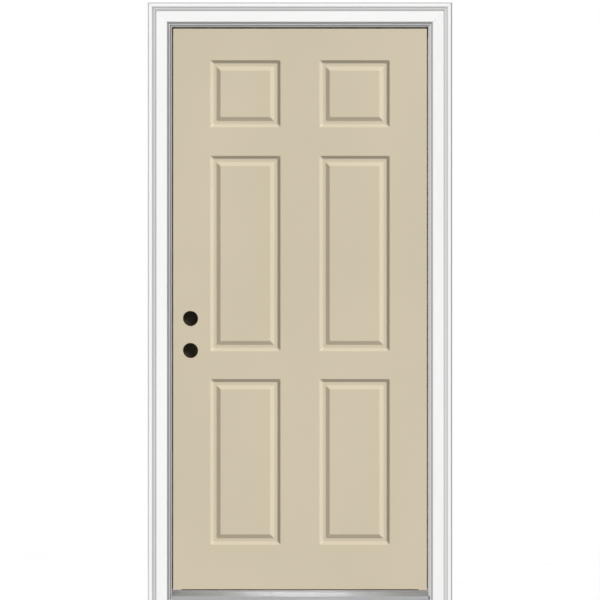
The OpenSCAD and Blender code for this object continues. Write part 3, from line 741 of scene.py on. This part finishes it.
def turned(name, profile, segments=24):
    """A section turned around Z."""
    bm = bmesh.new()
    rings = []
    for radius, z in profile:
        count = segments if radius > 0 else 1
        rings.append([
            bm.verts.new((radius * math.cos(2 * math.pi * k / count), radius * math.sin(2 * math.pi * k / count), z))
            for k in range(count)
        ])
    for a, b in zip(rings, rings[1:]):
        for k in range(segments):
            corners = [a[k % len(a)], b[k % len(b)], b[(k + 1) % len(b)], a[(k + 1) % len(a)]]
            bm.faces.new(list(dict.fromkeys(corners)))
    bmesh.ops.recalc_face_normals(bm, faces=bm.faces)
    mesh = bpy.data.meshes.new(name)
    bm.to_mesh(mesh)
    bm.free()
    return bpy.data.objects.new(name, mesh)


def crossed_cutter():
    """A tapered cross that stands in a screw's head."""
    cross = []
    for turn in range(4):
        c, s = round(math.cos(turn * math.pi / 2)), round(math.sin(turn * math.pi / 2))
        for u, v in ((1, -RECESS_WING), (1, RECESS_WING), (RECESS_WING, RECESS_WING)):
            cross.append((c, s, u, v))
    levels = [(-0.5 * MM, RECESS_REACH), (RECESS_DEPTH, 0.45 * RECESS_REACH)]
    bm = bmesh.new()
    rings = []
    for z, reach in levels:
        ring = []
        for c, s, u, v in cross:
            x, y = (reach if u == 1 else u), v
            ring.append(bm.verts.new((c * x - s * y, s * x + c * y, z)))
        rings.append(ring)
    count = len(cross)
    for k in range(count):
        j = (k + 1) % count
        bm.faces.new((rings[0][k], rings[0][j], rings[1][j], rings[1][k]))
    bm.faces.new(rings[0][::-1])
    bm.faces.new(rings[1])
    bmesh.ops.recalc_face_normals(bm, faces=bm.faces)
    mesh = bpy.data.meshes.new("cross")
    bm.to_mesh(mesh)
    bm.free()
    return bpy.data.objects.new("cross", mesh)


def cut_by(piece, cutter):
    """The piece with the cutter's shape taken out of its mesh."""
    cut = piece.modifiers.new("cut", "BOOLEAN")
    cut.object = cutter
    cut.solver = "EXACT"
    bpy.context.scene.collection.objects.link(cutter)
    with_modifiers(piece)
    bpy.data.objects.remove(cutter)
    return piece


def add_screws(node, head_r, shank_r, head_h, direction):
    """Screws in place of a CAD node's; direction gives the way each one points, from its middle."""
    boxes = solids(node)
    size = boxes[0][1] - boxes[0][0]
    length = max(size)
    pattern = cut_by(turned(node + "_pattern", screw_profile(length, head_r, shank_r, head_h)), crossed_cutter())
    bm = bmesh.new()
    for index, (low, high) in enumerate(boxes):
        middle = (low + high) / 2
        way = Vector(direction(middle))
        turn = way.to_track_quat("Z", "Y").to_matrix().to_4x4()
        spin = Matrix.Rotation(0.7 * index, 4, "Z")
        place = Matrix.Translation(middle - way * length / 2) @ turn @ spin
        first = len(bm.verts)
        bm.from_mesh(pattern.data)
        bm.verts.ensure_lookup_table()
        bmesh.ops.transform(bm, matrix=place, verts=bm.verts[first:])
    mesh = bpy.data.meshes.new(node + "_turned")
    bm.to_mesh(mesh)
    bm.free()
    bpy.data.objects.remove(pattern)
    smooth(mesh, 35)
    finish_piece(bpy.data.objects.new(node + "_turned", mesh), node)


SCREW_HEAD, SCREW_SHANK, SCREW_CONE = 4.2 * MM, 2.1 * MM, 2.5 * MM
for node, direction in (
    ("hinge_frame_screws", lambda at: (1, 0, 0)),
    ("hinge_door_screws", lambda at: (-1, 0, 0)),
    ("head_screws", lambda at: (0, 0, -1)),
    ("sill_end_screws", lambda at: (-1 if at.x > 0 else 1, 0, 0)),
):
    add_screws(node, SCREW_HEAD, SCREW_SHANK, SCREW_CONE, direction)


# ---- CAD nodes that only need their edges eased ----

EDGE_WIDTHS = {
    "head_jamb": 0.8, "strike_jamb": 0.8, "hinge_jamb": 0.8,
    "sill_base": 0.4, "sill_deck": 0.25, "sill_cap": 0.5, "corner_pads": 0.25,
    "hinge_top_frame_leaf": 0.3, "hinge_middle_frame_leaf": 0.3, "hinge_bottom_frame_leaf": 0.3,
    "hinge_top_door_leaf": 0.3, "hinge_middle_door_leaf": 0.3, "hinge_bottom_door_leaf": 0.3,
    "hinge_top_pin": 0.3, "hinge_middle_pin": 0.3, "hinge_bottom_pin": 0.3,
    "hinge_bearings": 0.3, "deadbolt_bore_cap": 0.6, "latch_bore_cap": 0.6, "door_sweep": 0.15,
    "cap_screw_1": 0.15, "cap_screw_2": 0.15, "cap_screw_3": 0.15, "cap_screw_4": 0.15,
}
for node, width in EDGE_WIDTHS.items():
    eased(node, width * MM)

for node, thing in frame["nodes"].items():
    if not thing.hide_render:
        thing.data.materials.clear()
        thing.data.materials.append(look_for(node))


# ---- Floor and light groups ----

def add_floor():
    """A wide pale disc under the sill."""
    bm = bmesh.new()
    bmesh.ops.create_circle(bm, cap_ends=True, segments=96, radius=3.0)
    mesh = bpy.data.meshes.new("floor")
    bm.to_mesh(mesh)
    bm.free()
    floor = bpy.data.objects.new("floor", mesh)
    floor.location = (0, 0, cad_bounds[0][2] - 0.2 * MM)
    floor.data.materials.append(looks["floor"])
    floor.visible_diffuse = False
    bpy.context.scene.collection.objects.link(floor)
    floor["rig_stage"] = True


add_floor()

LEAF_BODY = body_of["skin_outside"]
for thing in list(bpy.context.scene.objects):
    if thing.type != "MESH":
        continue
    if thing.get("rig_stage"):
        floor_lit.objects.link(thing)
        continue
    thing.visible_diffuse = False
    (wall_lit if thing.name.startswith("brickmould") else rear_lit).objects.link(thing)
    if thing.get("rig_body") == LEAF_BODY:
        leaf_lit.objects.link(thing)
        continue
    frame_lit.objects.link(thing)
    if thing.name.startswith(("brickmould_strike_side", "brickmould_head")):
        left_lit.objects.link(thing)
    elif thing.name.startswith(("strike_jamb", "head_jamb", "hinge_jamb", "weatherstrip")):
        jamb_lit.objects.link(thing)
    elif thing.name.startswith(("sill", "cap_screw")):
        sill_lit.objects.link(thing)
    else:
        right_lit.objects.link(thing)
